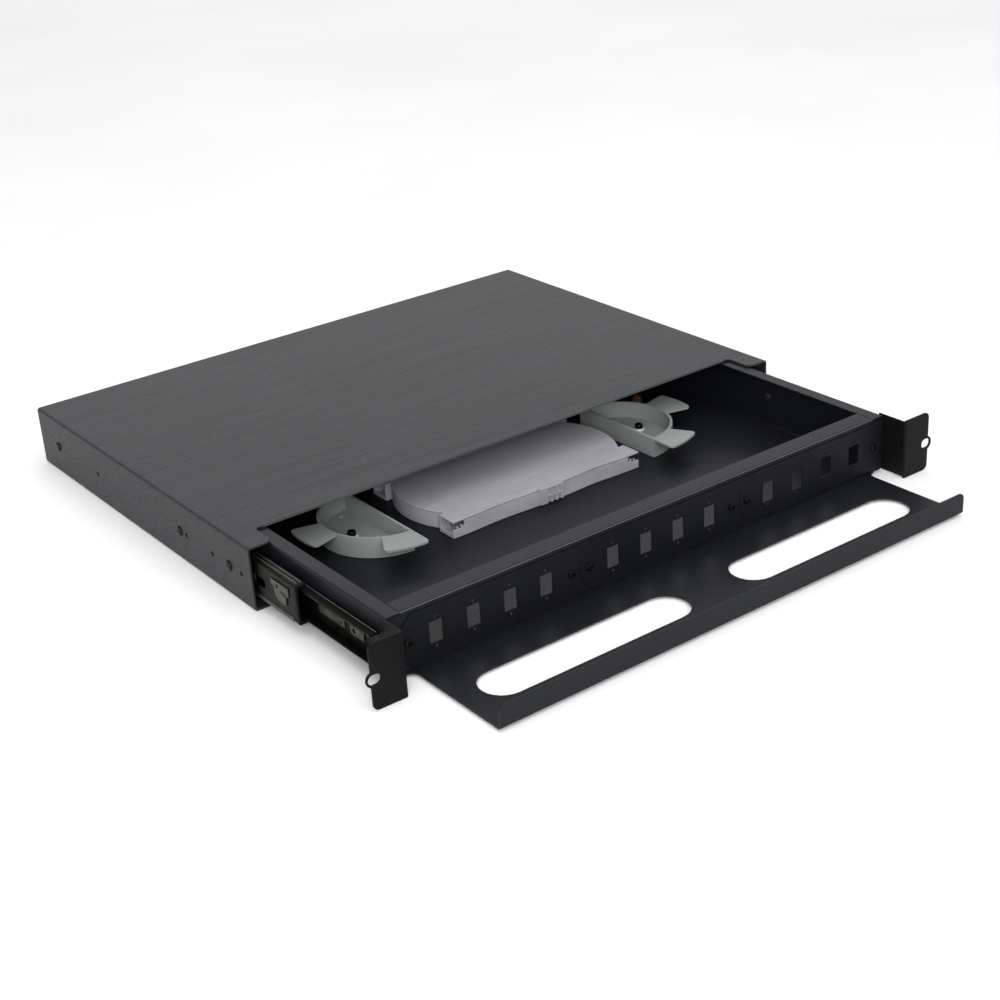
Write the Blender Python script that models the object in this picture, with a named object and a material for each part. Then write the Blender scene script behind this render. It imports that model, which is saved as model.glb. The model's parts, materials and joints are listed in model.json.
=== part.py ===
"""Rack-mount fibre termination drawer, one object per real piece.

All sizes are millimetres until a piece is finished, when it is scaled to metres.
X runs across the rack (right is positive seen from the front), +Y towards the rear, +Z up.
The pieces are drawn with the housing standing on z = 0 and the drawer's front panel at y = 0, with
the drawer half out. They are then placed from the centre of the housing's underside.
"""
import math

import bmesh
import bpy
from mathutils import Matrix, Vector

MM = 0.001
GAP = 0.3
SIDES = (-1, 1)
SIDE_NAMES = {-1: "left", 1: "right"}

# Housing sleeve: a 1.2 mm steel tube, 450 mm wide for a 19 inch rack and one unit high.
STEEL = 1.2
HOUSING_HALF_WIDTH = 225.2
HOUSING_HEIGHT = 44.4
HOUSING_FRONT = 129.5
HOUSING_REAR = 449.5
TOP_RECESS_HALF_WIDTH = 206.9
TOP_RECESS_REAR = 151.8
MID_HEIGHT = 22.2
FRAME_ORIGIN = Vector((0, (HOUSING_FRONT + HOUSING_REAR) / 2, 0))
SLIDE_SCREW_Y = (158.0, 225.5, 419.0)
OPEN_HOLE_Y = (142.4, 180.1, 215.8, 351.0)
GLAND_X = 150.0
GLAND_THREAD_RADIUS = 9.9

# Drawer: 1 mm sheet folded to floor, sides, rear wall and front cable tray.
SHEET = 1.0
DRAWER_HALF_WIDTH = 209.4
DRAWER_BOTTOM = 1.7
DRAWER_TOP = 42.7
DRAWER_DEPTH = 286.0
FLOOR_TOP = DRAWER_BOTTOM + SHEET
FLANGE_WIDTH = 10.4
FRONT_TRAY_HALF_WIDTH = 193.9
FRONT_TRAY_EDGE = -85.0
FRONT_LIP_TOP = 17.2
TRAY_SLOTS_X = ((-177.7, -20.9), (22.0, 178.0))
TRAY_SLOT_Y = (-62.0, -30.5)

# Adapter plates: three, side by side, each with four cut-outs.
PLATE_CENTRES = (-134.5, 1.5, 137.5)
PLATE_FRONT = -1.2
PLATE_REAR = -GAP
PLATE_MID_HEIGHT = 22.0
PLATE_HALF_HEIGHT = 17.5
PLATE_SCREW_OFFSET = 61.0
CUTOUT_WIDTH = 9.6
CUTOUT_HEIGHT = 14.2
CUTOUT_PITCH = 27.5
PIN_HOLE_OFFSET = 9.65

# Rack ears.
EAR_FRONT = -20.0
EAR_WEB_INNER = 209.7
EAR_HOLE_X = 231.7
EAR_HOLE_Z = 20.6
EAR_LOW = 0.4
EAR_HIGH = 43.8

# Slides: outer member on the housing, middle member, inner member on the drawer.
OUTER_SPAN_Y = (140.0, 436.0)
MIDDLE_SPAN_Y = (83.0, 359.0)
INNER_SPAN_Y = (5.0, 285.0)
OUTER_CAGE_Y = (176.0, 322.0)
INNER_CAGE_Y = (134.0, 254.0)
INNER_SCREW_Y = (110.4, 255.0)
INNER_SCREW_Z = 24.5

# Fibre spools, one on each side of the splice tray.
SPOOL_CENTRE = (106.0, 166.5)
SPOOL_RADIUS = 42.0
SPOOL_TAB_RADIUS = 62.0
SPOOL_WALL = 1.8
SPOOL_FLOOR = 2.0
SPOOL_TOP = 17.7
SPOOL_SCREW_X = 128.5
PIECE_BOTTOM = FLOOR_TOP + GAP

# Splice tray and its lid.
TRAY_LEFT = -77.5
TRAY_RIGHT = 87.0
TRAY_FRONT = 119.5
TRAY_REAR = 217.5
PORT_WIDTH = 10.5
PORT_DEPTH = 16.5
TRAY_WALL = 1.6
TRAY_RIM = 13.8
TRAY_TOP = 15.5
TRAY_BULGE = 9.9
CLIP_SPAN_X = (-4.0, 16.0)
TRAY_SCREW_SPOTS = ((5.0, 143.0), (5.0, 194.0))
EARTH_STUD_SPOT = (155.5, 199.4)


# ---------------------------------------------------------------- drawing helpers

def turn_vector(vector, angle):
    """Rotate a 2-D vector by an angle in radians."""
    cosine = math.cos(angle)
    sine = math.sin(angle)
    return Vector((vector.x * cosine - vector.y * sine, vector.x * sine + vector.y * cosine))


def arc(centre, radius, start, end, steps):
    """Points on an arc with both ends included; angles in degrees."""
    points = []
    for step in range(steps + 1):
        angle = math.radians(start + (end - start) * step / steps)
        points.append((centre[0] + radius * math.cos(angle), centre[1] + radius * math.sin(angle)))
    return points


def corner_fan(before, here, after, radius, largest_step):
    """Centre, spokes and turning side of the arc that rounds one corner of a path."""
    to_before = (before - here).normalized()
    to_after = (after - here).normalized()
    half_angle = to_before.angle(to_after) / 2
    centre = here + (to_before + to_after).normalized() * (radius / math.sin(half_angle))
    spoke = here + to_before * (radius / math.tan(half_angle)) - centre
    turn = math.pi - 2 * half_angle
    side = 1 if to_before.x * to_after.y - to_before.y * to_after.x < 0 else -1
    steps = max(1, round(math.degrees(turn) / largest_step))
    spokes = [turn_vector(spoke, side * turn * step / steps) for step in range(steps + 1)]
    return centre, spokes, side


def rounded(corners, largest_step=30):
    """Closed outline from (x, y, radius) corners."""
    outline = []
    for index, (x, y, radius) in enumerate(corners):
        here = Vector((x, y))
        if radius == 0:
            outline.append((x, y))
            continue
        before = Vector(corners[index - 1][:2])
        after = Vector(corners[(index + 1) % len(corners)][:2])
        centre, spokes, _ = corner_fan(before, here, after, radius, largest_step)
        outline.extend((centre.x + spoke.x, centre.y + spoke.y) for spoke in spokes)
    return outline


def folded(path, thickness, radius, largest_step=30):
    """Closed outline of a folded sheet from the path of its middle surface."""
    left = []
    right = []
    half = thickness / 2
    points = [Vector(point) for point in path]
    for index, here in enumerate(points):
        if index in (0, len(points) - 1):
            along = points[1] - here if index == 0 else here - points[-2]
            normal = Vector((-along.y, along.x)).normalized() * half
            left.append(here + normal)
            right.append(here - normal)
            continue
        centre, spokes, side = corner_fan(points[index - 1], here, points[index + 1], radius, largest_step)
        left.extend(centre + spoke * ((radius - side * half) / radius) for spoke in spokes)
        right.extend(centre + spoke * ((radius + side * half) / radius) for spoke in spokes)
    return [tuple(point) for point in left + right[::-1]]


def box_outline(low_x, high_x, low_y, high_y, radius=0.0, largest_step=30):
    """Rectangle with equal corner radii."""
    corners = [(low_x, low_y), (high_x, low_y), (high_x, high_y), (low_x, high_y)]
    return rounded([(x, y, radius) for x, y in corners], largest_step)


def ring_outline(centre, radius, steps):
    """Circle as a closed outline."""
    return arc(centre, radius, 0, 360 - 360 / steps, steps - 1)


def prism(outline, axis, low, high, bm=None):
    """Solid made by drawing an outline out along an axis; added to bm when one is given."""
    bm = bm or bmesh.new()
    ends = []
    for level in (low, high):
        ends.append([])
        for first, second in outline:
            spots = {"x": (level, first, second), "y": (first, level, second), "z": (first, second, level)}
            spot = spots[axis]
            ends[-1].append(bm.verts.new(spot))
    bm.faces.new(ends[0])
    bm.faces.new(ends[1])
    for index in range(len(outline)):
        bm.faces.new((ends[0][index - 1], ends[0][index], ends[1][index], ends[1][index - 1]))
    return bm


def rim_distance(radius, angle, sides):
    """Distance from the axis to a round rim, or to a polygon whose flats are at radius."""
    if sides == 0:
        return radius
    sector = 2 * math.pi / sides
    return radius / math.cos(angle % sector - sector / 2)


def turned(profile, axis, centre, segments=24, bored=False, bm=None):
    """Solid of revolution from (radius, level, polygon sides) rings along an axis through centre."""
    bm = bm or bmesh.new()
    rings = []
    for radius, level, sides in profile:
        rings.append([])
        for index in range(segments):
            angle = 2 * math.pi * index / segments
            reach = rim_distance(radius, angle, sides)
            across = (reach * math.cos(angle), reach * math.sin(angle))
            spot = {"x": (level, *across), "y": (across[0], level, across[1]), "z": (*across, level)}[axis]
            rings[-1].append(bm.verts.new(Vector(spot) + Vector(centre)))
    pairs = list(zip(rings, rings[1:]))
    if bored:
        pairs.append((rings[-1], rings[0]))
    else:
        bm.faces.new(rings[0])
        bm.faces.new(rings[-1])
    for lower, upper in pairs:
        for index in range(segments):
            bm.faces.new((lower[index - 1], lower[index], upper[index], upper[index - 1]))
    return bm


def solid(bm):
    """Loose working object, in millimetres, from a bmesh."""
    bmesh.ops.recalc_face_normals(bm, faces=bm.faces)
    mesh = bpy.data.meshes.new("working")
    bm.to_mesh(mesh)
    bm.free()
    obj = bpy.data.objects.new("working", mesh)
    bpy.context.collection.objects.link(obj)
    return obj


def combine(base, tool_bm, operation):
    """Cut a tool out of a working object, or join it on."""
    tool = solid(tool_bm)
    modifier = base.modifiers.new("shape", "BOOLEAN")
    modifier.operation = operation
    modifier.solver = "EXACT"
    modifier.object = tool
    depsgraph = bpy.context.evaluated_depsgraph_get()
    mesh = bpy.data.meshes.new_from_object(base.evaluated_get(depsgraph))
    base.modifiers.clear()
    base.data = mesh
    bpy.data.objects.remove(tool)


def cut(base, tool_bm):
    """Take a tool away from a working object."""
    combine(base, tool_bm, "DIFFERENCE")


def join(base, tool_bm):
    """Grow a tool onto a working object."""
    combine(base, tool_bm, "UNION")


def finish(obj, name, parent, material, origin, smooth_angle=35):
    """Name a working object, scale it to metres and stand it on its own origin under its body."""
    origin = Vector(origin)
    obj.name = name
    obj.data.name = name
    obj.data.transform(Matrix.Translation(-origin))
    obj.data.transform(Matrix.Scale(MM, 4))
    obj.data.materials.clear()
    obj.data.materials.append(material)
    for polygon in obj.data.polygons:
        polygon.material_index = 0
    obj.data.shade_smooth()
    obj.data.set_sharp_from_angle(angle=math.radians(smooth_angle))
    obj.parent = parent
    obj.location = (origin - FRAME_ORIGIN) * MM - parent.location
    return obj


def make_material(name, colour, roughness, metallic):
    material = bpy.data.materials.new(name)
    material.use_nodes = True
    shader = material.node_tree.nodes["Principled BSDF"]
    shader.inputs["Base Color"].default_value = (*colour, 1.0)
    shader.inputs["Roughness"].default_value = roughness
    shader.inputs["Metallic"].default_value = metallic
    return material


def make_materials():
    """Every surface the pieces use."""
    return {
        "powder_coat": make_material("powder_coat", (0.035, 0.035, 0.038), 0.55, 0.0),
        "drawer_coat": make_material("drawer_coat", (0.012, 0.013, 0.016), 0.5, 0.0),
        "plate_coat": make_material("plate_coat", (0.016, 0.016, 0.018), 0.5, 0.0),
        "slide_steel": make_material("slide_steel", (0.10, 0.095, 0.085), 0.4, 0.9),
        "ball_cage_steel": make_material("ball_cage_steel", (0.35, 0.34, 0.32), 0.35, 0.9),
        "black_plastic": make_material("black_plastic", (0.02, 0.02, 0.021), 0.45, 0.0),
        "spool_plastic": make_material("spool_plastic", (0.36, 0.38, 0.37), 0.5, 0.0),
        "tray_plastic": make_material("tray_plastic", (0.45, 0.44, 0.47), 0.4, 0.0),
        "black_screw": make_material("black_screw", (0.03, 0.03, 0.03), 0.35, 0.7),
        "bright_steel": make_material("bright_steel", (0.6, 0.6, 0.58), 0.3, 1.0),
        "brass": make_material("brass", (0.72, 0.5, 0.2), 0.3, 1.0),
    }


def make_body(name, spot):
    """Empty that carries the pieces of one rigid body; it stands on the body's joint axis."""
    empty = bpy.data.objects.new(name, None)
    empty.location = (Vector(spot) - FRAME_ORIGIN) * MM
    bpy.context.collection.objects.link(empty)
    return empty


# ---------------------------------------------------------------- housing

def make_housing_sleeve(body, material):
    """Square tube with a recessed top edge between two side strips and a row of side holes."""
    tube = solid(prism(
        box_outline(-HOUSING_HALF_WIDTH, HOUSING_HALF_WIDTH, 0, HOUSING_HEIGHT, 2.0, 22.5),
        "y", HOUSING_FRONT, HOUSING_REAR))
    inner_half = HOUSING_HALF_WIDTH - STEEL
    cut(tube, prism(
        box_outline(-inner_half, inner_half, STEEL, HOUSING_HEIGHT - STEEL, 0.8, 45),
        "y", HOUSING_FRONT - 1, HOUSING_REAR + 1))
    strip_round = 5.0
    notch_round = 2.5
    flare = TOP_RECESS_HALF_WIDTH + strip_round
    ahead = HOUSING_FRONT - 5
    edge = arc((flare, HOUSING_FRONT + strip_round), strip_round, 270, 180, 4)
    edge += arc((TOP_RECESS_HALF_WIDTH - notch_round, TOP_RECESS_REAR - notch_round), notch_round, 0, 90, 3)
    mirrored = [(-x, y) for x, y in reversed(edge)]
    recess = [(-flare, ahead), (flare, ahead)] + edge + mirrored
    cut(tube, prism(recess, "z", HOUSING_HEIGHT - STEEL - 1, HOUSING_HEIGHT + 1))
    holes = bmesh.new()
    for side in SIDES:
        span = sorted((side * (inner_half - 1), side * (HOUSING_HALF_WIDTH + 1)))
        for y in SLIDE_SCREW_Y:
            prism(ring_outline((y, MID_HEIGHT), 2.2, 12), "x", *span, bm=holes)
        for y in OPEN_HOLE_Y:
            prism(ring_outline((y, MID_HEIGHT), 1.9, 10), "x", *span, bm=holes)
    cut(tube, holes)
    finish(tube, "housing_sleeve", body, material, (0, HOUSING_REAR, MID_HEIGHT))


def make_rear_panel(body, material):
    """Shallow pan that closes the rear of the sleeve, with a round hole for each gland."""
    clearance = STEEL + GAP + 0.1
    half = HOUSING_HALF_WIDTH - clearance
    low = clearance
    high = HOUSING_HEIGHT - clearance
    front = 437.0
    rear = 449.2
    pan = solid(prism(box_outline(-half, half, low, high, 1.6, 45), "y", front, rear))
    cut(pan, prism(
        box_outline(-half + STEEL, half - STEEL, low + STEEL, high - STEEL, 0.6, 90),
        "y", front - 1, rear - STEEL))
    holes = bmesh.new()
    for side in SIDES:
        bore = ring_outline((side * GLAND_X, MID_HEIGHT), GLAND_THREAD_RADIUS + GAP, 24)
        prism(bore, "y", 440, 452, bm=holes)
    cut(pan, holes)
    finish(pan, "housing_rear_panel", body, material, (0, rear, MID_HEIGHT))


def make_cable_gland(body, material, side):
    """Gland body with its thread through the panel, hexagon and domed clamping nut, bored through."""
    profile = [
        (6.0, 440.6, 0),
        (GLAND_THREAD_RADIUS, 440.6, 0),
        (GLAND_THREAD_RADIUS, 449.5, 0),
        (12.0, 449.5, 6),
        (12.0, 454.5, 6),
        (10.6, 454.6, 0),
        (10.6, 455.8, 0),
        (11.8, 455.9, 6),
        (11.8, 463.5, 6),
        (10.4, 464.5, 0),
        (10.0, 468.5, 0),
        (8.2, 471.5, 0),
        (6.0, 471.5, 0),
    ]
    centre = (side * GLAND_X, 0, MID_HEIGHT)
    gland = solid(turned(profile, "y", centre, 24, bored=True))
    finish(gland, f"cable_gland_{SIDE_NAMES[side]}", body, material, (side * GLAND_X, 449.5, MID_HEIGHT))


def make_gland_locknut(body, material, side):
    """Hexagon nut on the gland's thread inside the rear panel."""
    bore = GLAND_THREAD_RADIUS + GAP
    profile = [(bore, 443.2, 0), (12.0, 443.2, 6), (12.0, 447.7, 6), (bore, 447.7, 0)]
    nut = solid(turned(profile, "y", (side * GLAND_X, 0, MID_HEIGHT), 24, bored=True))
    finish(nut, f"gland_locknut_{SIDE_NAMES[side]}", body, material, (side * GLAND_X, 445.5, MID_HEIGHT))


def make_slide_screw(body, material, side, number, y):
    """Low pan-head screw that holds the slide's outer member to the housing wall."""
    face = HOUSING_HALF_WIDTH + 0.15
    profile = [(1.7, 222.6, 0), (1.7, face, 0), (3.6, face, 0), (3.4, face + 0.9, 0), (2.0, face + 1.3, 0)]
    profile = [(radius, side * level, sides) for radius, level, sides in profile]
    screw = solid(turned(profile, "x", (0, y, MID_HEIGHT), 12))
    recess = prism(box_outline(y - 1.6, y + 1.6, MID_HEIGHT - 0.3, MID_HEIGHT + 0.3), "x",
                   *sorted((side * (face + 0.5), side * (face + 3))))
    cut(screw, recess)
    finish(screw, f"slide_screw_{SIDE_NAMES[side]}_{number}", body, material, (side * face, y, MID_HEIGHT))


# ---------------------------------------------------------------- slides

def channel(side, web, half_height, reach, thickness, radius):
    """C-shaped section seen from the front: web near the wall, lips reaching to x = reach."""
    path = [
        (side * reach, MID_HEIGHT + half_height),
        (side * web, MID_HEIGHT + half_height),
        (side * web, MID_HEIGHT - half_height),
        (side * reach, MID_HEIGHT - half_height),
    ]
    return folded(path, thickness, radius, 45)


def make_outer_member(body, material, side):
    member = solid(prism(channel(side, 223.1, 17.0, 216.5, 1.0, 1.4), "y", *OUTER_SPAN_Y))
    holes = bmesh.new()
    span = sorted((side * 221.5, side * 225.0))
    for y in SLIDE_SCREW_Y:
        prism(ring_outline((y, MID_HEIGHT), 2.1, 10), "x", *span, bm=holes)
    for y in (290.0, 380.0):
        prism(box_outline(y - 7, y + 7, MID_HEIGHT - 2.2, MID_HEIGHT + 2.2, 2.1), "x", *span, bm=holes)
    cut(member, holes)
    finish(member, f"slide_{SIDE_NAMES[side]}_outer_member", body, material,
           (side * 223.1, OUTER_SPAN_Y[0], MID_HEIGHT))


def make_middle_member(body, material, side):
    member = solid(prism(channel(side, 220.9, 13.2, 213.7, 1.0, 1.4), "y", *MIDDLE_SPAN_Y))
    holes = bmesh.new()
    span = sorted((side * 219.0, side * 223.0))
    for y in (128.0, 250.0, 330.0):
        prism(box_outline(y - 9, y + 9, MID_HEIGHT - 3.2, MID_HEIGHT + 3.2, 3.1), "x", *span, bm=holes)
    cut(member, holes)
    finish(member, f"slide_{SIDE_NAMES[side]}_middle_member", body, material,
           (side * 220.9, MIDDLE_SPAN_Y[0], MID_HEIGHT))


def make_inner_member(body, material, side):
    member = solid(prism(channel(side, 210.3, 9.7, 217.6, 1.0, 1.4), "y", *INNER_SPAN_Y))
    holes = bmesh.new()
    span = sorted((side * 208.9, side * 212.0))
    for y in INNER_SCREW_Y:
        prism(ring_outline((y, INNER_SCREW_Z), 2.1, 10), "x", *span, bm=holes)
    for y, half_length in ((28.0, 8.0), (58.0, 5.0), (150.0, 9.0), (200.0, 9.0)):
        prism(box_outline(y - half_length, y + half_length, MID_HEIGHT - 2.6, MID_HEIGHT + 2.6, 2.5),
              "x", *span, bm=holes)
    cut(member, holes)
    finish(member, f"slide_{SIDE_NAMES[side]}_inner_member", body, material,
           (side * 210.3, INNER_SPAN_Y[0], MID_HEIGHT))


def make_ball_cage(body, material, side, name, span_y, section, ball_radius, ball_x, ball_rise):
    """Thin C-shaped strip that carries a row of balls above and below."""
    cage = solid(prism(section, "y", *span_y))
    balls_per_row = 3
    margin = 8.0
    balls = bmesh.new()
    for index in range(balls_per_row):
        y = span_y[0] + margin + index * (span_y[1] - span_y[0] - 2 * margin) / (balls_per_row - 1)
        for rise in (-ball_rise, ball_rise):
            spot = Matrix.Translation((side * ball_x, y, MID_HEIGHT + rise))
            bmesh.ops.create_uvsphere(balls, u_segments=8, v_segments=5, radius=ball_radius, matrix=spot)
    join(cage, balls)
    finish(cage, name, body, material, (side * ball_x, span_y[0], MID_HEIGHT), 60)


def make_outer_cage(body, material, side):
    section = channel(side, 222.0, 15.1, 217.3, 0.5, 0.6)
    make_ball_cage(body, material, side, f"slide_{SIDE_NAMES[side]}_outer_ball_cage",
                   OUTER_CAGE_Y, section, 1.1, 218.5, 15.1)


def make_inner_cage(body, material, side):
    section = channel(side, 219.75, 11.45, 214.6, 0.5, 0.6)
    make_ball_cage(body, material, side, f"slide_{SIDE_NAMES[side]}_inner_ball_cage",
                   INNER_CAGE_Y, section, 0.95, 215.8, 11.45)


def make_bumper(body, material, side):
    """Plastic end stop inside the front end of the middle member, clear of the inner member."""
    front = MIDDLE_SPAN_Y[0]
    outline = rounded([
        (side * 220.1, MID_HEIGHT - 12.3, 0.8),
        (side * 218.1, MID_HEIGHT - 12.3, 0.4),
        (side * 218.1, MID_HEIGHT + 12.3, 0.4),
        (side * 220.1, MID_HEIGHT + 12.3, 0.8),
    ], 45)
    bumper = solid(prism(outline, "y", front + 0.6, front + 16))
    window = prism(box_outline(front + 6, front + 12, MID_HEIGHT - 5, MID_HEIGHT + 5, 1.0, 45),
                   "x", *sorted((side * 217, side * 221)))
    cut(bumper, window)
    finish(bumper, f"slide_{SIDE_NAMES[side]}_bumper", body, material, (side * 219.1, front, MID_HEIGHT))


# ---------------------------------------------------------------- drawer

def drawer_section():
    """Floor, sides and inward top flanges seen from the front."""
    half = DRAWER_HALF_WIDTH - SHEET / 2
    low = DRAWER_BOTTOM + SHEET / 2
    high = DRAWER_TOP - SHEET / 2
    flange = DRAWER_HALF_WIDTH - FLANGE_WIDTH
    path = [(-flange, high), (-half, high), (-half, low), (half, low), (half, high), (flange, high)]
    return folded(path, SHEET, 1.2)


def front_tray_outline():
    """Front cable tray from above, flaring into the drawer floor with a hollow corner each side."""
    flare = 5.5
    panel = -1.6
    edge = FRONT_TRAY_HALF_WIDTH
    right = [(edge + flare, 6.0)] + arc((edge + flare, panel - flare), flare, 90, 180, 4)
    right.append((edge, FRONT_TRAY_EDGE + 6))
    left = [(-x, y) for x, y in reversed(right)]
    return right + left


def make_drawer_tray(body, material):
    """Drawer sheet: floor, flanged sides and rear wall, and the lipped cable tray in front."""
    tray = solid(prism(drawer_section(), "y", 0, DRAWER_DEPTH))
    join(tray, prism(front_tray_outline(), "z", DRAWER_BOTTOM, FLOOR_TOP))
    low = DRAWER_BOTTOM + SHEET / 2
    lip_path = [(FRONT_TRAY_EDGE + 8, low), (FRONT_TRAY_EDGE + SHEET / 2, low),
                (FRONT_TRAY_EDGE + SHEET / 2, FRONT_LIP_TOP)]
    join(tray, prism(folded(lip_path, SHEET, 1.2), "x", -FRONT_TRAY_HALF_WIDTH, FRONT_TRAY_HALF_WIDTH))
    high = DRAWER_TOP - SHEET / 2
    rear_half = DRAWER_HALF_WIDTH - SHEET / 2
    rear_path = [(DRAWER_DEPTH - 5, low), (DRAWER_DEPTH - SHEET / 2, low),
                 (DRAWER_DEPTH - SHEET / 2, high), (DRAWER_DEPTH - FLANGE_WIDTH, high)]
    join(tray, prism(folded(rear_path, SHEET, 1.2), "x", -rear_half, rear_half))
    cut(tray, lip_corner_tool())
    cut(tray, drawer_floor_tool())
    cut(tray, drawer_wall_tool())
    finish(tray, "drawer_tray", body, material, (0, 0, DRAWER_BOTTOM))


def lip_corner_tool():
    """Tool that rounds the two top corners of the front lip."""
    radius = 4.0
    tool = bmesh.new()
    for side in SIDES:
        edge = side * FRONT_TRAY_HALF_WIDTH
        centre = (edge - side * radius, FRONT_LIP_TOP - radius)
        start = 0 if side > 0 else 180
        outline = arc(centre, radius, start, 90, 4)
        beyond = edge + side * 2
        outline += [(centre[0], FRONT_LIP_TOP + 2), (beyond, FRONT_LIP_TOP + 2), (beyond, centre[1])]
        prism(outline, "y", FRONT_TRAY_EDGE - 1, FRONT_TRAY_EDGE + 2, bm=tool)
    return tool


def drawer_floor_tool():
    """Tool for every hole in the floor: the two long slots, screw holes and tie slots."""
    tool = bmesh.new()
    span = (DRAWER_BOTTOM - 1, FLOOR_TOP + 1)
    radius = (TRAY_SLOT_Y[1] - TRAY_SLOT_Y[0]) / 2 - 0.05
    for low_x, high_x in TRAY_SLOTS_X:
        prism(box_outline(low_x, high_x, *TRAY_SLOT_Y, radius, 15), "z", *span, bm=tool)
    for side in SIDES:
        prism(ring_outline((side * SPOOL_SCREW_X, SPOOL_CENTRE[1]), 2.2, 12), "z", *span, bm=tool)
        for x in (side * 138, side * 162):
            prism(box_outline(x - 1.5, x + 1.5, 236, 246, 1.4, 45), "z", *span, bm=tool)
    for spot in TRAY_SCREW_SPOTS:
        prism(ring_outline(spot, 1.9, 10), "z", *span, bm=tool)
    prism(ring_outline((167.5, 117.7), 1.6, 10), "z", *span, bm=tool)
    return tool


def drawer_wall_tool():
    """Tool for the holes in the side walls and the cable entries in the rear wall."""
    tool = bmesh.new()
    for side in SIDES:
        span = sorted((side * (DRAWER_HALF_WIDTH - 3), side * (DRAWER_HALF_WIDTH + 1)))
        for y in INNER_SCREW_Y:
            prism(ring_outline((y, INNER_SCREW_Z), 2.1, 10), "x", *span, bm=tool)
        prism(box_outline(side * GLAND_X - 22, side * GLAND_X + 22, 13, 31, 8.9, 30),
              "y", DRAWER_DEPTH - 3, DRAWER_DEPTH + 1, bm=tool)
    return tool


def make_front_wall(body, material):
    """Front frame behind the adapter plates: panel with windows, side tabs and a folded top flange."""
    half = DRAWER_HALF_WIDTH - SHEET - GAP - 0.2
    low = FLOOR_TOP + GAP
    panel_top = DRAWER_TOP - SHEET - GAP
    side_path = [(-half + 0.5, 13.0), (-half + 0.5, 0.5), (half - 0.5, 0.5), (half - 0.5, 13.0)]
    wall = solid(prism(folded(side_path, SHEET, 1.2), "z", low, panel_top - 0.2))
    flange_half = DRAWER_HALF_WIDTH - FLANGE_WIDTH - GAP - 0.2
    high = DRAWER_TOP - SHEET / 2
    flange_path = [(0.5, panel_top - 6), (0.5, high), (14.5, high)]
    join(wall, prism(folded(flange_path, SHEET, 1.2), "x", -flange_half, flange_half))
    windows = bmesh.new()
    for centre in PLATE_CENTRES:
        prism(box_outline(centre - 52, centre + 52, 10.0, 34.0, 2.0, 45), "y", -2, 3, bm=windows)
        for side in SIDES:
            spot = (centre + side * PLATE_SCREW_OFFSET, PLATE_MID_HEIGHT)
            prism(ring_outline(spot, 1.9, 10), "y", -2, 3, bm=windows)
    cut(wall, windows)
    finish(wall, "drawer_front_wall", body, material, (0, 0, low))


def make_adapter_plate(body, material, number, centre):
    """Plate with a tongue on the left end that fits the next plate's notch."""
    tongue = 7.6
    slope = 8.5
    tongue_reach = 67.5
    notch_reach = 68.0
    right_limit = min(centre + notch_reach + slope, DRAWER_HALF_WIDTH - 1.4)
    rise = right_limit - centre - notch_reach
    shape = [
        (-tongue_reach + slope, -PLATE_HALF_HEIGHT),
        (right_limit - centre, -PLATE_HALF_HEIGHT),
        (right_limit - centre, -tongue - rise),
        (notch_reach, -tongue),
        (notch_reach, tongue),
        (right_limit - centre, tongue + rise),
        (right_limit - centre, PLATE_HALF_HEIGHT),
        (-tongue_reach + slope, PLATE_HALF_HEIGHT),
        (-tongue_reach + slope, tongue + slope),
        (-tongue_reach, tongue),
        (-tongue_reach, -tongue),
        (-tongue_reach + slope, -tongue - slope),
    ]
    outline = [(centre + x, PLATE_MID_HEIGHT + z) for x, z in shape]
    plate = solid(prism(outline, "y", PLATE_FRONT, PLATE_REAR))
    holes = bmesh.new()
    for index in range(4):
        x = centre + (index - 1.5) * CUTOUT_PITCH
        prism(box_outline(x - CUTOUT_WIDTH / 2, x + CUTOUT_WIDTH / 2,
                          MID_HEIGHT - CUTOUT_HEIGHT / 2, MID_HEIGHT + CUTOUT_HEIGHT / 2), "y", -3, 1, bm=holes)
        for rise in (-PIN_HOLE_OFFSET, PIN_HOLE_OFFSET):
            prism(ring_outline((x, MID_HEIGHT + rise), 1.0, 8), "y", -3, 1, bm=holes)
    for side in SIDES:
        spot = (centre + side * PLATE_SCREW_OFFSET, PLATE_MID_HEIGHT)
        prism(ring_outline(spot, 1.8, 12), "y", -3, 1, bm=holes)
    cut(plate, holes)
    finish(plate, f"adapter_plate_{number}", body, material, (centre, PLATE_FRONT, PLATE_MID_HEIGHT))


def make_plate_screw(body, material, number, x):
    """Small pan-head screw with a cross recess that holds an adapter plate."""
    face = PLATE_FRONT - 0.15
    profile = [(1.4, 4.0, 0), (1.4, face, 0), (2.9, face, 0), (2.7, face - 0.9, 0), (1.6, face - 1.4, 0)]
    screw = solid(turned(profile, "y", (x, 0, PLATE_MID_HEIGHT), 16))
    for width, height in ((3.0, 0.7), (0.7, 3.0)):
        cut(screw, prism(box_outline(x - width / 2, x + width / 2, PLATE_MID_HEIGHT - height / 2,
                                     PLATE_MID_HEIGHT + height / 2), "y", face - 3, face - 0.6))
    finish(screw, f"plate_screw_{number}", body, material, (x, face, PLATE_MID_HEIGHT))


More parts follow.
